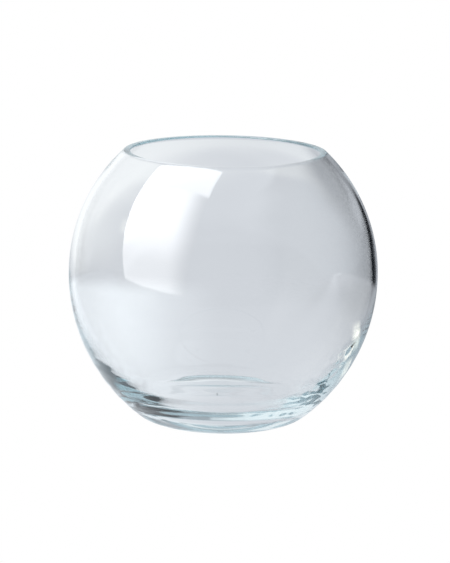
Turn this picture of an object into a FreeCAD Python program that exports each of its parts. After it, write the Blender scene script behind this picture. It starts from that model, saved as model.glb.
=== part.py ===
import FreeCAD, Part
import math
import os

# A rose bowl of clear glass: one blown globe with a wide open mouth, a ground
# and fire-polished lip, a wall that thickens towards the foot, and a floor over
# a shallow punt.
# Sizes are in millimetres. +Z is up, and the origin is the middle of the foot,
# on the surface that the bowl stands on.

# Outside of the globe
belly_radius = 75.0
belly_height = 71.0
height = 131.0
mouth_radius = 48.7
foot_radius = 34.5
heel_radius = 12.5

# Thickness of the glass, and the inside of the floor
lip_wall = 2.5
belly_wall = 2.5
floor_thickness = 5.0
floor_dish_radius = 200.0
inner_heel_centre = 34.0
inner_heel_radius = 14.0

# Lip and foot
lip_outer_round = 0.9
lip_inner_round = 0.6
punt_radius = 27.0
punt_depth = 0.6
punt_edge_round = 4.0

# Directions in the half section, as angles from +X towards +Z
ACROSS = 0.0
UP = math.pi / 2
DOWN = -math.pi / 2
HALF_TURN = math.pi


def at(radius, level):
    """A point of the half section, in the XZ plane."""
    return FreeCAD.Vector(radius, 0, level)


def arc(centre, radius, start, end):
    """An arc of the half section, between two angles."""
    angles = (start, (start + end) / 2, end)
    points = [centre + at(radius * math.cos(angle), radius * math.sin(angle)) for angle in angles]
    return Part.Arc(*points).toShape()


def angle_from(centre, point):
    """The angle at which a point is seen from a centre."""
    return math.atan2(point.z - centre.z, point.x - centre.x)


def beside(centre, reach, level):
    """The point at a level and at a reach from a centre, on the side away from the axis."""
    return at(centre.x + math.sqrt(reach**2 - (level - centre.z)**2), level)


def below(centre, reach, radius):
    """The point at a radius and at a reach from a centre, on its lower side."""
    return at(radius, centre.z - math.sqrt(reach**2 - (radius - centre.x)**2))


def shoulder_circle(belly, lip):
    """Centre and radius of the arc that is upright at the belly and passes through the lip."""
    drawn_in = belly.x - lip.x
    rise = lip.z - belly.z
    radius = (drawn_in**2 + rise**2) / (2 * drawn_in)
    return belly - at(radius, 0), radius


def lower_circle(belly, heel, round_radius):
    """Centre and radius of the arc that is upright at the belly and rolls on into the heel's round."""
    out = belly.x - heel.x
    up = belly.z - heel.z
    radius = (out**2 + up**2 - round_radius**2) / (2 * (out - round_radius))
    return belly - at(radius, 0), radius


def punt_circle():
    """Centre and radius of the punt's hollow, which meets the foot's plane at the punt's edge."""
    radius = (punt_radius**2 + punt_depth**2) / (2 * punt_depth)
    return at(0, punt_depth - radius), radius


def lip_width():
    """Width of the lip's level top, where the wall is cut across on the slant."""
    lip = at(mouth_radius, height)
    centre, _ = shoulder_circle(at(belly_radius, belly_height), lip)
    return lip_wall / math.cos(angle_from(centre, lip))


def foot():
    """The underside: the punt, its eased edge and the flat ring that the bowl stands on."""
    hollow, hollow_radius = punt_circle()
    edge = beside(hollow, hollow_radius + punt_edge_round, punt_edge_round)
    slope = angle_from(hollow, edge)
    return [
        arc(hollow, hollow_radius, UP, slope),
        arc(edge, punt_edge_round, slope - HALF_TURN, DOWN),
        Part.makeLine(at(edge.x, 0), at(foot_radius, 0)),
    ]


def outside():
    """The outside of the globe, from the foot ring up to the lip."""
    belly = at(belly_radius, belly_height)
    heel = at(foot_radius, heel_radius)
    low, low_radius = lower_circle(belly, heel, heel_radius)
    high, high_radius = shoulder_circle(belly, at(mouth_radius, height))
    lip = beside(high, high_radius - lip_outer_round, height - lip_outer_round)
    low_angle = angle_from(low, heel)
    high_angle = angle_from(high, lip)
    return [
        arc(heel, heel_radius, DOWN, low_angle),
        arc(low, low_radius, low_angle, ACROSS),
        arc(high, high_radius, ACROSS, high_angle),
        arc(lip, lip_outer_round, high_angle, UP),
    ]


def inside():
    """The lip's level top, then the inside of the globe down to the middle of the floor."""
    belly = at(belly_radius - belly_wall, belly_height)
    floor_top = punt_depth + floor_thickness
    dish = at(0, floor_top + floor_dish_radius)
    heel = below(dish, floor_dish_radius - inner_heel_radius, inner_heel_centre)
    low, low_radius = lower_circle(belly, heel, inner_heel_radius)
    high, high_radius = shoulder_circle(belly, at(mouth_radius - lip_width(), height))
    lip = beside(high, high_radius + lip_inner_round, height - lip_inner_round)
    low_angle = angle_from(low, heel)
    high_angle = angle_from(high, lip)
    dish_angle = angle_from(dish, heel)
    return [
        arc(lip, lip_inner_round, UP, high_angle + HALF_TURN),
        arc(high, high_radius, high_angle, ACROSS),
        arc(low, low_radius, ACROSS, low_angle),
        arc(heel, inner_heel_radius, low_angle, dish_angle),
        arc(dish, floor_dish_radius, dish_angle, DOWN),
    ]


def ends(edge):
    """The two end points of an edge, in the order that it was drawn."""
    return edge.valueAt(edge.FirstParameter), edge.valueAt(edge.LastParameter)


def half_section():
    """The glass cut through its axis, as one face."""
    outer = foot() + outside()
    inner = inside()
    lip_top = Part.makeLine(ends(outer[-1])[1], ends(inner[0])[0])
    axis = Part.makeLine(ends(inner[-1])[1], ends(outer[0])[0])
    return Part.Face(Part.Wire(outer + [lip_top] + inner + [axis]))


def glass_bowl():
    """The whole bowl: its half section turned once about the axis."""
    return half_section().revolve(at(0, 0), FreeCAD.Vector(0, 0, 1), 360)


def main():
    os.makedirs("parts", exist_ok=True)
    bowl = glass_bowl()
    bowl.exportStep("parts/glass_bowl.step")
    print("glass_bowl", bowl.ShapeType, bowl.isValid(), round(bowl.Volume), "mm3", bowl.BoundBox)


main()
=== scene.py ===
from itertools import pairwise
import math

import bpy
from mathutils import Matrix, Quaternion, Vector, noise


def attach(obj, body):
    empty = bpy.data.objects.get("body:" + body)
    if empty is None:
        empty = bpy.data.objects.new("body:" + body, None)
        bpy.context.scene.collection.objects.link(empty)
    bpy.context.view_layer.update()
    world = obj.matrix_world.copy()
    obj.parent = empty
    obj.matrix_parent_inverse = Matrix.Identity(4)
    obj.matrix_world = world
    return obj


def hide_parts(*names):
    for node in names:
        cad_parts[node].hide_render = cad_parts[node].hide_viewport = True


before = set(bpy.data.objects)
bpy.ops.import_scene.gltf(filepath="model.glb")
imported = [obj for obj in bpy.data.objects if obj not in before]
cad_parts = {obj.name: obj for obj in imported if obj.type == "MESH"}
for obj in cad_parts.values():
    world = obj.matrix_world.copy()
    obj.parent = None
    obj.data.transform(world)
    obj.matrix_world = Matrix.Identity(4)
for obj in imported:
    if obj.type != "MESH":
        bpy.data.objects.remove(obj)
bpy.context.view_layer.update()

# Sizes are metres and angles are degrees, unless a note says otherwise.
# The bowl stands on z = 0 with its axis on Z. The camera looks along +Y.

bellyLevel = 0.071      # the bowl's widest place; camera and window are set out from its middle
white = (1.0, 1.0, 1.0)


# Camera: a long lens, a little above the bowl
view = {
    "distance": 1.2,          # from the middle of the belly
    "elevation": 11.95,
    "lens": 157.8,            # millimetres
    "sensor": 36.0,           # millimetres, along the picture's height
    "aimBelow": 0.0043,       # below the belly, so that the bowl sits high in the picture
    "aimRight": 0.0009,
    "roll": 0.9,              # the bowl leans a touch to the right
}


def makeCamera():
    data = bpy.data.cameras.new("studioCamera")
    data.lens = view["lens"]
    data.sensor_width = view["sensor"]
    camera = bpy.data.objects.new("studioCamera", data)
    tilt = math.radians(view["elevation"])
    belly = Vector((0.0, 0.0, bellyLevel))
    towardsCamera = Vector((0.0, -math.cos(tilt), math.sin(tilt)))
    upInPicture = Vector((0.0, math.sin(tilt), math.cos(tilt)))
    aim = belly - upInPicture * view["aimBelow"] + Vector((view["aimRight"], 0.0, 0.0))
    camera.location = belly + towardsCamera * view["distance"]
    look = aim - camera.location
    camera.rotation_mode = "QUATERNION"
    camera.rotation_quaternion = look.to_track_quat("-Z", "Y")
    camera.rotation_quaternion.rotate(Quaternion(look.normalized(), math.radians(-view["roll"])))
    bpy.context.scene.collection.objects.link(camera)
    bpy.context.scene.camera = camera


makeCamera()
print("camera set")


# Glass bowl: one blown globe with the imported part's section. Only the lip's rounds are
# tighter and the punt is shallower, so that it bends light more as in the photograph.
bowl = {
    "bellyRadius": 0.075,
    "height": 0.131,
    "mouthRadius": 0.0487,
    "footRadius": 0.0345,
    "heelRadius": 0.0125,
    "lipWall": 0.0025,
    "bellyWall": 0.0025,
    "floorThickness": 0.0050,
    "floorDishRadius": 0.200,
    "innerHeelCentre": 0.034,
    "innerHeelRadius": 0.014,
    "lipOuterRound": 0.0006,
    "lipInnerRound": 0.0004,
    "puntRadius": 0.027,
    "puntDepth": 0.0003,
    "puntEdgeRound": 0.0040,
}

# How many faces there are round the axis and along each arc of the section
fineness = {
    "turns": 300,
    "punt": 10,
    "puntEdge": 4,
    "heel": 26,
    "lowerSide": 76,
    "shoulder": 36,
    "lipOuterRound": 6,
    "lipInnerRound": 8,
    "innerHeel": 30,
    "floorDish": 18,
    "seedTurns": 16,      # and so for a bubble, round it and from top to bottom
    "seedRings": 10,
}

# What blowing and turning leave in the glass: rings round the outside of the heel, cut
# into the true section, and waves that make the wall thicker from the inside.
blown = {
    "ringDepth": 0.00010,
    "ringPitch": 0.0095,
    "ringLevels": (0.003, 0.036),
    "waveDepth": 0.00022,
    "waveSize": 0.0042,
    "waveLevels": (0.006, 0.047),
    "leftLevels": (0.006, 0.033),     # the waves' levels at the bowl's left
    "leftShare": 0.05,                # of the waves' depth at the bowl's left
    "levelsSoft": 0.008,              # over which rings and waves fade in and out
    "swayDepth": 0.00020,             # long, slow waves over the whole inside
    "swaySize": 0.030,
    "swayStart": (0.004, 0.016),      # below the lip, from where they set in to their full depth
}


def arcPoints(centre, radius, start, end, steps):
    points = []
    for step in range(steps + 1):
        angle = start + (end - start) * step / steps
        points.append((centre[0] + radius * math.cos(angle), centre[1] + radius * math.sin(angle)))
    return points


def angleFrom(centre, point):
    return math.atan2(point[1] - centre[1], point[0] - centre[0])


def beside(centre, reach, level):      # the point at this level and reach, away from the axis
    return centre[0] + math.sqrt(reach**2 - (level - centre[1])**2), level


def shoulderCircle(belly, lip):      # upright at the belly, through the lip
    drawnIn, rise = belly[0] - lip[0], lip[1] - belly[1]
    radius = (drawnIn**2 + rise**2) / (2 * drawnIn)
    return (belly[0] - radius, belly[1]), radius


def lowerCircle(belly, heel, roundRadius):      # upright at the belly, rolling on into the heel
    out, up = belly[0] - heel[0], belly[1] - heel[1]
    radius = (out**2 + up**2 - roundRadius**2) / (2 * (out - roundRadius))
    return (belly[0] - radius, belly[1]), radius


def outsideSection():      # from the middle of the punt out and up to the lip
    b, steps = bowl, fineness
    hollowRadius = (b["puntRadius"]**2 + b["puntDepth"]**2) / (2 * b["puntDepth"])
    hollow = (0.0, b["puntDepth"] - hollowRadius)
    edge = beside(hollow, hollowRadius + b["puntEdgeRound"], b["puntEdgeRound"])
    slope = angleFrom(hollow, edge)
    belly = (b["bellyRadius"], bellyLevel)
    heel = (b["footRadius"], b["heelRadius"])
    low, lowRadius = lowerCircle(belly, heel, b["heelRadius"])
    high, highRadius = shoulderCircle(belly, (b["mouthRadius"], b["height"]))
    lip = beside(high, highRadius - b["lipOuterRound"], b["height"] - b["lipOuterRound"])
    lowAngle, highAngle = angleFrom(low, heel), angleFrom(high, lip)
    points = arcPoints(hollow, hollowRadius, math.pi / 2, slope, steps["punt"])
    points += arcPoints(edge, b["puntEdgeRound"], slope - math.pi, -math.pi / 2, steps["puntEdge"])[1:]
    points += arcPoints(heel, b["heelRadius"], -math.pi / 2, lowAngle, steps["heel"])
    points += arcPoints(low, lowRadius, lowAngle, 0.0, steps["lowerSide"])[1:]
    points += arcPoints(high, highRadius, 0.0, highAngle, steps["shoulder"])[1:]
    points += arcPoints(lip, b["lipOuterRound"], highAngle, math.pi / 2, steps["lipOuterRound"])[1:]
    return points


def insideSection():      # from the lip down to the middle of the floor
    b, steps = bowl, fineness
    outerLip = (b["mouthRadius"], b["height"])
    centre, _ = shoulderCircle((b["bellyRadius"], bellyLevel), outerLip)
    lipWidth = b["lipWall"] / math.cos(angleFrom(centre, outerLip))      # the wall is cut on the slant
    belly = (b["bellyRadius"] - b["bellyWall"], bellyLevel)
    dish = (0.0, b["puntDepth"] + b["floorThickness"] + b["floorDishRadius"])
    toHeel = b["floorDishRadius"] - b["innerHeelRadius"]
    heel = (b["innerHeelCentre"], dish[1] - math.sqrt(toHeel**2 - b["innerHeelCentre"]**2))
    low, lowRadius = lowerCircle(belly, heel, b["innerHeelRadius"])
    high, highRadius = shoulderCircle(belly, (b["mouthRadius"] - lipWidth, b["height"]))
    lip = beside(high, highRadius + b["lipInnerRound"], b["height"] - b["lipInnerRound"])
    lowAngle, highAngle, dishAngle = angleFrom(low, heel), angleFrom(high, lip), angleFrom(dish, heel)
    points = arcPoints(lip, b["lipInnerRound"], math.pi / 2, highAngle + math.pi, steps["lipInnerRound"])
    points += arcPoints(high, highRadius, highAngle, 0.0, steps["shoulder"])[1:]
    points += arcPoints(low, lowRadius, 0.0, lowAngle, steps["lowerSide"])[1:]
    points += arcPoints(heel, b["innerHeelRadius"], lowAngle, dishAngle, steps["innerHeel"])[1:]
    points += arcPoints(dish, b["floorDishRadius"], dishAngle, -math.pi / 2, steps["floorDish"])[1:]
    return points


def fadeIn(value, low, high):      # smooth, 0 at low and 1 at high
    share = min(1.0, max(0.0, (value - low) / (high - low)))
    return share * share * (3 - 2 * share)


def within(value, span, soft):      # 0 at both ends of the span, 1 from soft inside them on
    return fadeIn(value, span[0], span[0] + soft) * fadeIn(-value, -span[1], -span[1] + soft)


def swell(x, y, level, size):      # slow noise, between 0 and 1
    return (1 + noise.noise(Vector((x, y, level)) / size)) / 2


def outerRings(run, level):      # depth of the rings, at a run along the outside's section
    groove = (1 - math.cos(2 * math.pi * run / blown["ringPitch"])) / 2
    return blown["ringDepth"] * groove * within(level, blown["ringLevels"], blown["levelsSoft"])


def innerWaves(x, y, level):      # strongest at the sides, none straight in front and behind
    share = x**2 / (x**2 + y**2)
    levels = blown["waveLevels"]
    if x < 0:
        share *= blown["leftShare"]
        levels = blown["leftLevels"]
    fine = swell(x, y, level, blown["waveSize"])
    fine *= blown["waveDepth"] * share * within(level, levels, blown["levelsSoft"])
    slow = blown["swayDepth"] * swell(x, y, level, blown["swaySize"])
    return fine + slow * fadeIn(bowl["height"] - level, *blown["swayStart"])


def turnedPoints(outer, inner):      # the section starts and ends on the axis
    section = outer + inner
    turns = fineness["turns"]
    points = [(0.0, 0.0, section[0][1])]
    run = 0.0
    for number in range(1, len(section) - 1):
        before, (radius, level), after = section[number - 1:number + 2]
        along = Vector((after[0] - before[0], after[1] - before[1])).normalized()
        run += math.dist(before, (radius, level))
        for turn in range(turns):
            angle = 2 * math.pi * turn / turns
            x, y = radius * math.cos(angle), radius * math.sin(angle)
            # How far the surface stands out of the glass, square to the section
            proud = -outerRings(run, level) if number < len(outer) else innerWaves(x, y, level)
            stretch = 1 + along.y * proud / radius
            points.append((x * stretch, y * stretch, level - along.x * proud))
    points.append((0.0, 0.0, section[-1][1]))
    return points


def turnedFaces(pointCount, turns, first=0):      # a fan at each end, and rings of quads between
    last = first + pointCount - 1
    faces = []
    for turn in range(turns):
        after = (turn + 1) % turns
        faces.append((first, first + 1 + after, first + 1 + turn))
        for ring in range(first + 1, last - turns, turns):
            above = ring + turns
            faces.append((ring + turn, ring + after, above + after, above + turn))
        faces.append((last - turns + turn, last - turns + after, last))
    return faces


# Small bubbles just under the outside, at the front of the bowl
seeds = {
    "inHeel": {
        "x": -0.0019,
        "level": 0.0265,
        "depth": 0.0016,
        "halfWidth": 0.00028,
        "halfHeight": 0.00085,
    },
    "inFloorEdge": {
        "x": -0.0165,
        "level": 0.0150,
        "depth": 0.0014,
        "halfWidth": 0.00038,
        "halfHeight": 0.00030,
    },
}


def outerRadius(level):      # of the lower half
    for (lowRadius, low), (highRadius, high) in pairwise(outsideSection()):
        if low <= level <= high and high > low:
            return lowRadius + (highRadius - lowRadius) * (level - low) / (high - low)
    return bowl["bellyRadius"]


def seedPoints(seed):      # from its top down, which turns its faces inwards, since it holds air
    radius = outerRadius(seed["level"]) - seed["depth"]
    centre = Vector((seed["x"], -math.sqrt(radius**2 - seed["x"]**2), seed["level"]))
    top = Vector((0.0, 0.0, seed["halfHeight"]))
    rings, turns = fineness["seedRings"], fineness["seedTurns"]
    points = [centre + top]
    for ring in range(1, rings):
        down = math.pi * ring / rings
        out = seed["halfWidth"] * math.sin(down)
        for turn in range(turns):
            angle = 2 * math.pi * turn / turns
            aside = Vector((out * math.cos(angle), out * math.sin(angle), 0.0))
            points.append(centre + aside + top * math.cos(down))
    points.append(centre - top)
    return points


def glassMesh():
    points = turnedPoints(outsideSection(), insideSection())
    faces = turnedFaces(len(points), fineness["turns"])
    for seed in seeds.values():
        bubble = seedPoints(seed)
        faces += turnedFaces(len(bubble), fineness["seedTurns"], first=len(points))
        points += bubble
    mesh = bpy.data.meshes.new("glassBowl")
    mesh.from_pydata(points, [], faces)
    mesh.polygons.foreach_set("use_smooth", [True] * len(mesh.polygons))
    mesh.update()
    return mesh


# Helpers for the materials and the room. A mask is 1 where a thing shows and 0 elsewhere.
def feed(tree, socket, value):      # with another node's output, a colour or a number
    if isinstance(value, bpy.types.NodeSocket):
        tree.links.new(value, socket)
    elif isinstance(value, tuple):
        socket.default_value = (*value, 1.0)
    else:
        socket.default_value = value


def maths(tree, operation, *values):
    node = tree.nodes.new("ShaderNodeMath")
    node.operation = operation
    for socket, value in zip(node.inputs, values):
        feed(tree, socket, value)
    return node.outputs[0]


def axes(tree, place):
    split = tree.nodes.new("ShaderNodeSeparateXYZ")
    feed(tree, split.inputs[0], place)
    return split.outputs


def ramp(tree, value, low, high):      # smooth, 0 at low and 1 at high
    node = tree.nodes.new("ShaderNodeMapRange")
    node.interpolation_type = "SMOOTHSTEP"
    feed(tree, node.inputs["Value"], value)
    feed(tree, node.inputs["From Min"], low)
    feed(tree, node.inputs["From Max"], high)
    return node.outputs[0]


def between(tree, value, span, soft, endSoft=None):      # each end of the span is the middle of its fade
    endSoft = endSoft or soft
    rise = ramp(tree, value, span[0] - soft, span[0] + soft)
    fall = ramp(tree, value, span[1] + endSoft, span[1] - endSoft)
    return maths(tree, "MULTIPLY", rise, fall)


def painted(tree, under, colour, mask):
    mix = tree.nodes.new("ShaderNodeMix")
    mix.data_type = "RGBA"
    feed(tree, mix.inputs["Factor"], mask)
    feed(tree, mix.inputs["A"], under)
    feed(tree, mix.inputs["B"], colour)
    return mix.outputs["Result"]


def light(tree, kind, colour=white, strength=1.0):
    node = tree.nodes.new(kind)
    feed(tree, node.inputs["Color"], colour)
    feed(tree, node.inputs["Strength"], strength)
    return node.outputs[0]


def openAir(tree):      # lets all light through
    return tree.nodes.new("ShaderNodeBsdfTransparent").outputs[0]


def mixed(tree, mask, under, over):
    mix = tree.nodes.new("ShaderNodeMixShader")
    for socket, value in zip(mix.inputs, (mask, under, over)):
        feed(tree, socket, value)
    return mix.outputs[0]


def seenAs(tree, byGlass, byCamera):      # one light in the glass, another straight into the camera
    path = tree.nodes.new("ShaderNodeLightPath")
    return mixed(tree, path.outputs["Is Camera Ray"], byGlass, byCamera)


def emptyTree(owner, output):      # of a material or a world, and the socket for its surface
    owner.use_nodes = True
    tree = owner.node_tree
    tree.nodes.clear()
    return tree, tree.nodes.new(output).inputs["Surface"]


# The lip is ground and only lightly fire-polished, so it is a little rough.
glass = {
    "ior": 1.5,
    "tint": (0.86, 0.93, 0.945),      # what the thick glass takes on
    "tintDensity": 14.0,
    "lipBand": (0.0013, 0.00065),     # below the lip's top, from no roughness to all of it
    "lipRoughness": 0.1,
}


def clearGlass():
    material = bpy.data.materials.new("clearGlass")
    material.use_nodes = True
    tree = material.node_tree
    shader = tree.nodes["Principled BSDF"]
    feed(tree, shader.inputs["Base Color"], white)
    feed(tree, shader.inputs["IOR"], glass["ior"])
    feed(tree, shader.inputs["Transmission Weight"], 1.0)
    place = tree.nodes.new("ShaderNodeNewGeometry")
    start, full = glass["lipBand"]
    lip = tree.nodes.new("ShaderNodeMapRange")
    feed(tree, lip.inputs["Value"], axes(tree, place.outputs["Position"])["Z"])
    feed(tree, lip.inputs["From Min"], bowl["height"] - start)
    feed(tree, lip.inputs["From Max"], bowl["height"] - full)
    feed(tree, lip.inputs["To Max"], glass["lipRoughness"])
    feed(tree, shader.inputs["Roughness"], lip.outputs[0])
    tint = tree.nodes.new("ShaderNodeVolumeAbsorption")
    feed(tree, tint.inputs["Color"], glass["tint"])
    feed(tree, tint.inputs["Density"], glass["tintDensity"])
    feed(tree, tree.nodes["Material Output"].inputs["Volume"], tint.outputs["Volume"])
    return material


def makeBowl():
    mesh = glassMesh()
    mesh.materials.append(clearGlass())
    piece = bpy.data.objects.new("glassBowl", mesh)
    bpy.context.scene.collection.objects.link(piece)
    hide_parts("glass_bowl")
    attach(piece, "root")
    print("glass bowl turned:", len(mesh.polygons), "faces")


makeBowl()


# Studio: white to the camera. What the glass picks up is a grey-blue backdrop, a grey table with the
# bowl near its front edge, which glows with painted light and shade, and a darker room on the camera's
# side.
studio = {
    "backdrop": (0.648, 0.677, 0.722),
    "frontRoom": (0.52, 0.55, 0.59),
    "frontFade": (0.05, -0.25),           # y of a direction, from all backdrop to all front room
    "table": (0.655, 0.684, 0.729),
    "tableSpan": (-0.13, 0.270),          # y of its front and back edges
    "tableSoft": (0.05, 0.035),           # how softly each of them fades
    "floorSize": 8.0,
    "floorDrop": 0.0001,                  # a hair of air under the foot ring
}

# Patches of the room, each painted over those before it. "across" is the azimuth from
# straight behind the bowl, positive to the right, and "up" is the elevation. Both are
# (from, to) and fade over "soft", in and out. "endSoft" is for the end of "across".
roomPatches = {
    "ceiling": {"across": (-300.0, 300.0), "up": (44.0, 120.0), "soft": 8.0,
                "colour": (0.80, 0.84, 0.88)},
    "lowAround": {"across": (-300.0, 300.0), "up": (-120.0, -13.0), "soft": 2.0,
                  "colour": (0.66, 0.69, 0.735)},
    "high": {"across": (-60.0, 60.0), "up": (-8.4, 30.0), "soft": 0.5,
             "colour": (0.75, 0.78, 0.81)},
    "paleLeft": {"across": (-60.0, -4.6), "up": (-11.2, 60.0), "soft": 2.2,
                 "colour": (0.80, 0.83, 0.86)},
    "highLeft": {"across": (-60.0, -1.5), "up": (-9.0, 30.0), "soft": 0.8, "endSoft": 3.0,
                 "colour": (0.92, 0.95, 0.97)},
    "sideLeft": {"across": (-130.0, -56.0), "up": (-15.0, 50.0), "soft": 5.0,
                 "colour": (0.80, 0.83, 0.86)},
    "brightLeft": {"across": (-62.0, -12.0), "up": (-7.0, 50.0), "soft": 4.0,
                   "colour": (1.00, 1.03, 1.05)},
    "shadeRight": {"across": (7.0, 60.0), "up": (-40.0, 60.0), "soft": 4.5,
                   "colour": (0.41, 0.435, 0.475)},
    "shadeHighRight": {"across": (4.5, 60.0), "up": (-8.5, 30.0), "soft": 1.3,
                       "colour": (0.38, 0.40, 0.435)},
    "darkRight": {"across": (18.5, 120.0), "up": (-40.0, 60.0), "soft": 2.5, "endSoft": 25.0,
                  "colour": (0.01, 0.012, 0.015)},
    "darkFarRight": {"across": (66.0, 142.0), "up": (-6.0, 48.0), "soft": 8.0, "endSoft": 18.0,
                     "colour": (0.01, 0.035, 0.05)},
    "greyHighRight": {"across": (14.0, 44.0), "up": (2.0, 10.0), "soft": 2.0,
                      "colour": (0.33, 0.35, 0.38)},
    "darkAbove": {"across": (-15.0, 25.0), "up": (46.0, 78.0), "soft": 4.0,
                  "colour": (0.20, 0.22, 0.23)},
}

# Patches of the table, painted in the same way: x and y as (from, to). They are painted light and shade:
# a lit side, painted shade towards the right, and painted caustics, which stand for the light that the
# bowl gathers on the table behind it.
tablePatches = {
    # painted light: the side of the table that the window lights
    "litSide": {"x": (-2.0, -0.032), "y": (-1.0, 1.0), "soft": 0.035,
                "colour": (0.95, 1.00, 1.05)},
    # painted shade on the table to the right
    "shadeRight": {"x": (0.08, 2.0), "y": (-0.02, 1.0), "soft": 0.035,
                   "colour": (0.41, 0.435, 0.47)},
    # deeper painted shade on the table further right
    "darkRight": {"x": (0.19, 2.0), "y": (0.0, 1.0), "soft": 0.04,
                  "colour": (0.24, 0.25, 0.27)},
    # painted caustics: bright spots standing for light focused by the bowl
    "caustic": {"x": (0.112, 0.150), "y": (0.035, 0.066), "soft": 0.010,
                "colour": (1.8, 1.8, 1.6)},
    "causticLow": {"x": (0.076, 0.098), "y": (0.022, 0.050), "soft": 0.006,
                   "colour": (1.4, 1.4, 1.3)},
}


def makeRoom():
    world = bpy.data.worlds.new("studioRoom")
    bpy.context.scene.world = world
    tree, surface = emptyTree(world, "ShaderNodeOutputWorld")
    way = tree.nodes.new("ShaderNodeTexCoord")
    x, y, z = axes(tree, way.outputs["Generated"])
    across = maths(tree, "DEGREES", maths(tree, "ARCTAN2", x, y))
    up = maths(tree, "DEGREES", maths(tree, "ARCSINE", z))
    front = ramp(tree, y, *studio["frontFade"])
    colour = painted(tree, studio["backdrop"], studio["frontRoom"], front)
    for patch in roomPatches.values():
        mask = maths(tree, "MULTIPLY",
                     between(tree, across, patch["across"], patch["soft"], patch.get("endSoft")),
                     between(tree, up, patch["up"], patch["soft"]))
        colour = painted(tree, colour, patch["colour"], mask)
    room = light(tree, "ShaderNodeBackground", colour)
    feed(tree, surface, seenAs(tree, room, light(tree, "ShaderNodeBackground")))


def floorMaterial():
    material = bpy.data.materials.new("paleFloor")
    tree, surface = emptyTree(material, "ShaderNodeOutputMaterial")
    place = tree.nodes.new("ShaderNodeTexCoord")
    x, y, _ = axes(tree, place.outputs["Object"])
    # The table's colour, with the painted lit side, painted shade and painted caustics laid over it
    colour = studio["table"]
    for patch in tablePatches.values():
        mask = maths(tree, "MULTIPLY",
                     between(tree, x, patch["x"], patch["soft"]),
                     between(tree, y, patch["y"], patch["soft"]))
        colour = painted(tree, colour, patch["colour"], mask)
    onTable = between(tree, y, studio["tableSpan"], *studio["tableSoft"])
    # Seen in the glass, the table glows with this painted light and shade; no lamp lights it
    table = mixed(tree, onTable, openAir(tree), light(tree, "ShaderNodeEmission", colour))
    feed(tree, surface, seenAs(tree, table, light(tree, "ShaderNodeEmission")))
    return material


def makeFloor():
    half = studio["floorSize"] / 2
    corners = [(-half, -half, 0.0), (half, -half, 0.0), (half, half, 0.0), (-half, half, 0.0)]
    mesh = bpy.data.meshes.new("studioFloor")
    mesh.from_pydata(corners, [], [(0, 1, 2, 3)])
    mesh.materials.append(floorMaterial())
    floor = bpy.data.objects.new("studioFloor", mesh)
    floor.location.z = -studio["floorDrop"]
    bpy.context.scene.collection.objects.link(floor)


# The window stands in front, to the left and above, out of the picture. Its corners are
# directions from the belly: (azimuth, elevation), 0 towards the camera and 90 to its
# right. Its top is evenly white, and in its lower part the sky glows in the middle.
window = {
    "corners": [(-25.0, -7.6), (-75.0, -2.6), (-113.0, 52.0), (-2.0, 80.0)],
    "distance": 1.5,
    "steps": 12,                # faces along each side
    "edgeShare": 0.02,          # of its sides, over which its edges fade
    "topShare": 0.71,           # of its height, where the lower part ends and the top begins
    "skyShares": (0.36, 0.76),  # of its height, where the sky glows
    "skySoftShare": 0.16,
    "slantShare": 0.34,         # of its width at the right, which is dimmer, being seen at a slant
    "slantKeepsShare": 0.08,    # of the lower part's strength, at the right edge
    "topStrength": 8.0,
    "lowerStrength": 5.6,
    "skyStrength": 5.2,         # added to the lower part's
    "deepestRay": 1.5,          # only the first reflection, on the outside of the glass, sees it
}


def direction(azimuth, elevation):
    a, e = math.radians(azimuth), math.radians(elevation)
    return Vector((math.sin(a) * math.cos(e), -math.cos(a) * math.cos(e), math.sin(e)))


def windowStrength(tree, u, v):      # u from its right edge to its left, v from its foot to its top
    sky = between(tree, v, window["skyShares"], window["skySoftShare"])
    lower = maths(tree, "MULTIPLY_ADD", sky, window["skyStrength"], window["lowerStrength"])
    slant = ramp(tree, u, 0.0, window["slantShare"])
    kept = window["slantKeepsShare"]
    lower = maths(tree, "MULTIPLY", lower, maths(tree, "MULTIPLY_ADD", slant, 1 - kept, kept))
    top, edge = window["topShare"], window["edgeShare"]
    strength = tree.nodes.new("ShaderNodeMix")
    feed(tree, strength.inputs["Factor"], ramp(tree, v, top - edge, top + edge))
    feed(tree, strength.inputs["A"], lower)
    feed(tree, strength.inputs["B"], window["topStrength"])
    return strength.outputs["Result"]


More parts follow.
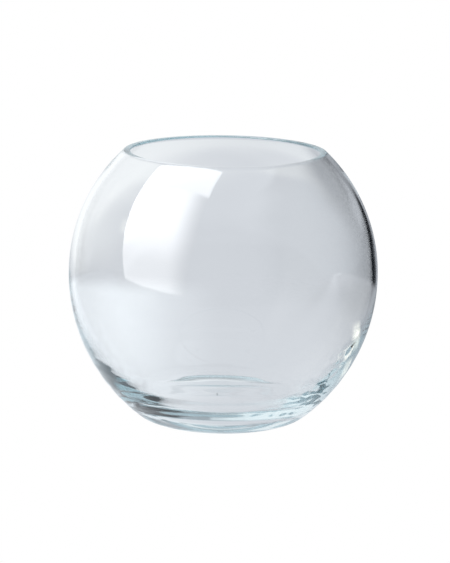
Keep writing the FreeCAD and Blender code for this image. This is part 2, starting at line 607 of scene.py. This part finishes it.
def windowMaterial():
    material = bpy.data.materials.new("windowLight")
    tree, surface = emptyTree(material, "ShaderNodeOutputMaterial")
    place = tree.nodes.new("ShaderNodeUVMap")
    u, v, _ = axes(tree, place.outputs[0])
    edge = window["edgeShare"]
    pane = maths(tree, "MULTIPLY",
                 between(tree, u, (edge, 1 - edge), edge),
                 between(tree, v, (edge, 1 - edge), edge))
    path = tree.nodes.new("ShaderNodeLightPath")
    first = maths(tree, "LESS_THAN", path.outputs["Ray Depth"], window["deepestRay"])
    shining = light(tree, "ShaderNodeEmission", strength=windowStrength(tree, u, v))
    feed(tree, surface, mixed(tree, maths(tree, "MULTIPLY", pane, first), openAir(tree), shining))
    return material


def makeWindow():
    belly = Vector((0.0, 0.0, bellyLevel))
    a, b, c, d = [belly + direction(*corner) * window["distance"] for corner in window["corners"]]
    steps = window["steps"]
    points, faces, spots = [], [], []
    for row in range(steps + 1):
        for column in range(steps + 1):
            u, v = column / steps, row / steps
            points.append(a.lerp(b, u).lerp(d.lerp(c, u), v))
            spots.append((u, v))
    for row in range(steps):
        for column in range(steps):
            corner = row * (steps + 1) + column
            faces.append((corner, corner + 1, corner + steps + 2, corner + steps + 1))
    mesh = bpy.data.meshes.new("windowLight")
    mesh.from_pydata(points, [], faces)
    layer = mesh.uv_layers.new(name="UVMap")
    for loop in mesh.loops:
        layer.data[loop.index].uv = spots[loop.vertex_index]
    mesh.materials.append(windowMaterial())
    card = bpy.data.objects.new("windowLight", mesh)
    bpy.context.scene.collection.objects.link(card)
    card.visible_camera = False
    card.visible_shadow = False
    card.visible_diffuse = False


makeRoom()
makeFloor()
makeWindow()
print("studio lit")


# Picture settings: light goes through many walls of glass before it gets out
picture = {
    "bounces": 128,
    "transparentBounces": 32,     # past the table's ends and the window's edges
}


def setPicture():
    scene = bpy.context.scene
    scene.view_settings.view_transform = "Standard"
    scene.cycles.max_bounces = picture["bounces"]
    scene.cycles.transmission_bounces = picture["bounces"]
    scene.cycles.glossy_bounces = picture["bounces"]
    scene.cycles.transparent_max_bounces = picture["transparentBounces"]
    scene.cycles.use_adaptive_sampling = False
    scene.cycles.use_denoising = True
    scene.cycles.caustics_reflective = True
    scene.cycles.caustics_refractive = True


setPicture()
